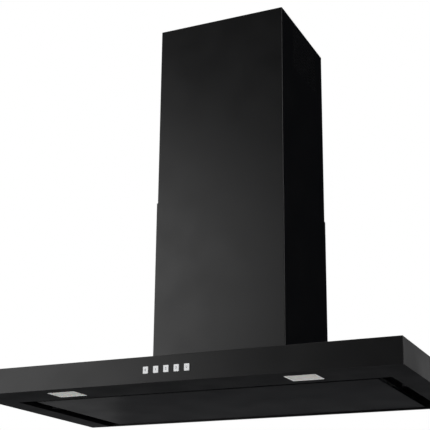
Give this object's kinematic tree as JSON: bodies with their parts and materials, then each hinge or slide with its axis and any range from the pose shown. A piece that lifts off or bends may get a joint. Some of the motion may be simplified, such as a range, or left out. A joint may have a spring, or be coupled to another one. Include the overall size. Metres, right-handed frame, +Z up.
{
  "type": "range hood",
  "caption": "Wall-mounted chimney range hood: flat canopy with perimeter suction panel, two lamps, push buttons and a telescoping square duct cover.",
  "frame": {"origin": "on the wall plane, on the hood's centre line, level with the canopy's bottom edge", "axes": "+X to the right seen from the room, +Y into the wall, +Z up"},
  "size_m": [0.9, 0.5022, 0.865],
  "materials": {
    "satin_black_steel": "satin black powder coat on folded steel sheet",
    "black_panel": "smooth black enamel on a folded steel pan",
    "galvanised_steel": "zinc-coated sheet with a soft spangle",
    "bright_steel": "bright zinc plate and drawn steel",
    "filter_aluminium": "rolled aluminium rims and layered mesh",
    "black_plastic": "fine-grained moulded black plastic",
    "button_plastic": "light grey moulded caps with printed digits",
    "white_plastic": "white moulded plastic",
    "lamp_diffuser": "frosted white diffuser",
    "circuit_board": "green solder mask",
    "motor_steel": "grey enamelled motor case",
    "rubber": "black rubber",
    "lead_sheath": "grey flexible lead sheath"
  },
  "bodies": {
    "root": {"back_plate": "galvanised_steel", "blower_housing": "galvanised_steel", "button_carrier": "black_plastic", "button_springs": "bright_steel", "cable_gland": "black_plastic", "canopy_shell": "satin_black_steel", "capacitor": "white_plastic", "chimney_feet": "galvanised_steel", "duct_collar": "black_plastic", "filter_deck": "galvanised_steel", "filter_frame_left": "filter_aluminium", "filter_frame_right": "filter_aluminium", "filter_keepers": "galvanised_steel", "filter_mesh_left": "filter_aluminium", "filter_mesh_right": "filter_aluminium", "filter_rear_rail": "galvanised_steel", "flap_pin": "bright_steel", "hinge_brackets": "galvanised_steel", "hinge_pins": "bright_steel", "housing_screws": "bright_steel", "inner_leads": "lead_sheath", "lamp_housing_left": "white_plastic", "lamp_housing_right": "white_plastic", "lamp_lens_left": "lamp_diffuser", "lamp_lens_right": "lamp_diffuser", "latch_springs": "bright_steel", "led_board_left": "circuit_board", "led_board_right": "circuit_board", "lower_chimney": "satin_black_steel", "motor": "motor_steel", "motor_bracket": "galvanised_steel", "motor_bushes": "rubber", "panel_catches": "bright_steel", "power_board": "circuit_board", "power_box": "black_plastic", "scroll_left": "black_plastic", "scroll_right": "black_plastic", "switch_board": "circuit_board", "switch_cover": "black_plastic", "terminal_block": "white_plastic", "underside_frame": "satin_black_steel", "upper_bracket": "galvanised_steel", "wall_frame": "galvanised_steel"},
    "button_off": {"button_off": "button_plastic"},
    "button_low": {"button_low": "button_plastic"},
    "button_mid": {"button_mid": "button_plastic"},
    "button_high": {"button_high": "button_plastic"},
    "button_lamp": {"button_lamp": "button_plastic"},
    "panel": {"suction_panel": "black_panel", "panel_liner": "filter_aluminium", "panel_ribs": "galvanised_steel", "panel_hinge_leaves": "galvanised_steel", "catch_plates": "bright_steel"},
    "upper_chimney": {"upper_chimney": "satin_black_steel"},
    "fan": {"fan_wheel": "black_plastic", "motor_shaft": "bright_steel"},
    "flap_left": {"flap_left": "filter_aluminium"},
    "flap_right": {"flap_right": "filter_aluminium"},
    "latch_left": {"filter_latch_left": "black_plastic"},
    "latch_right": {"filter_latch_right": "black_plastic"}
  },
  "joints": [
    {"name": "button_off_press", "type": "slide", "parent": "root", "child": "button_off", "axis": [0, 1, 0], "range_m": [0, 0.002], "stiffness_N_per_m": 300, "springref_m": -0.002, "deforming": ["button_springs"]},
    {"name": "button_low_press", "type": "slide", "parent": "root", "child": "button_low", "axis": [0, 1, 0], "range_m": [0, 0.002], "stiffness_N_per_m": 300, "springref_m": -0.002, "deforming": ["button_springs"]},
    {"name": "button_mid_press", "type": "slide", "parent": "root", "child": "button_mid", "axis": [0, 1, 0], "range_m": [0, 0.002], "stiffness_N_per_m": 300, "springref_m": -0.002, "deforming": ["button_springs"]},
    {"name": "button_high_press", "type": "slide", "parent": "root", "child": "button_high", "axis": [0, 1, 0], "range_m": [0, 0.002], "stiffness_N_per_m": 300, "springref_m": -0.002, "deforming": ["button_springs"]},
    {"name": "button_lamp_press", "type": "slide", "parent": "root", "child": "button_lamp", "axis": [0, 1, 0], "range_m": [0, 0.002], "stiffness_N_per_m": 300, "springref_m": -0.002, "deforming": ["button_springs"]},
    {"name": "panel_hinge", "type": "hinge", "parent": "root", "child": "panel", "pos_m": [0, -0.019, 0.006], "axis": [1, 0, 0], "range_deg": [0, 85]},
    {"name": "chimney_slide", "type": "slide", "parent": "root", "child": "upper_chimney", "axis": [0, 0, 1], "range_m": [-0.3, 0.03]},
    {"name": "fan_spin", "type": "hinge", "parent": "root", "child": "fan", "pos_m": [0, -0.15, 0.165], "axis": [1, 0, 0], "continuous": true},
    {"name": "flap_left_hinge", "type": "hinge", "parent": "root", "child": "flap_left", "pos_m": [0, -0.115, 0.3092], "axis": [0, 1, 0], "range_deg": [0, 80]},
    {"name": "flap_right_hinge", "type": "hinge", "parent": "root", "child": "flap_right", "pos_m": [0, -0.115, 0.3092], "axis": [0, -1, 0], "range_deg": [0, 80]},
    {"name": "latch_left_slide", "type": "slide", "parent": "root", "child": "latch_left", "axis": [0, 1, 0], "range_m": [0, 0.0055], "stiffness_N_per_m": 400, "springref_m": -0.002, "deforming": ["latch_springs"]},
    {"name": "latch_right_slide", "type": "slide", "parent": "root", "child": "latch_right", "axis": [0, 1, 0], "range_m": [0, 0.0055], "stiffness_N_per_m": 400, "springref_m": -0.002, "deforming": ["latch_springs"]}
  ]
}
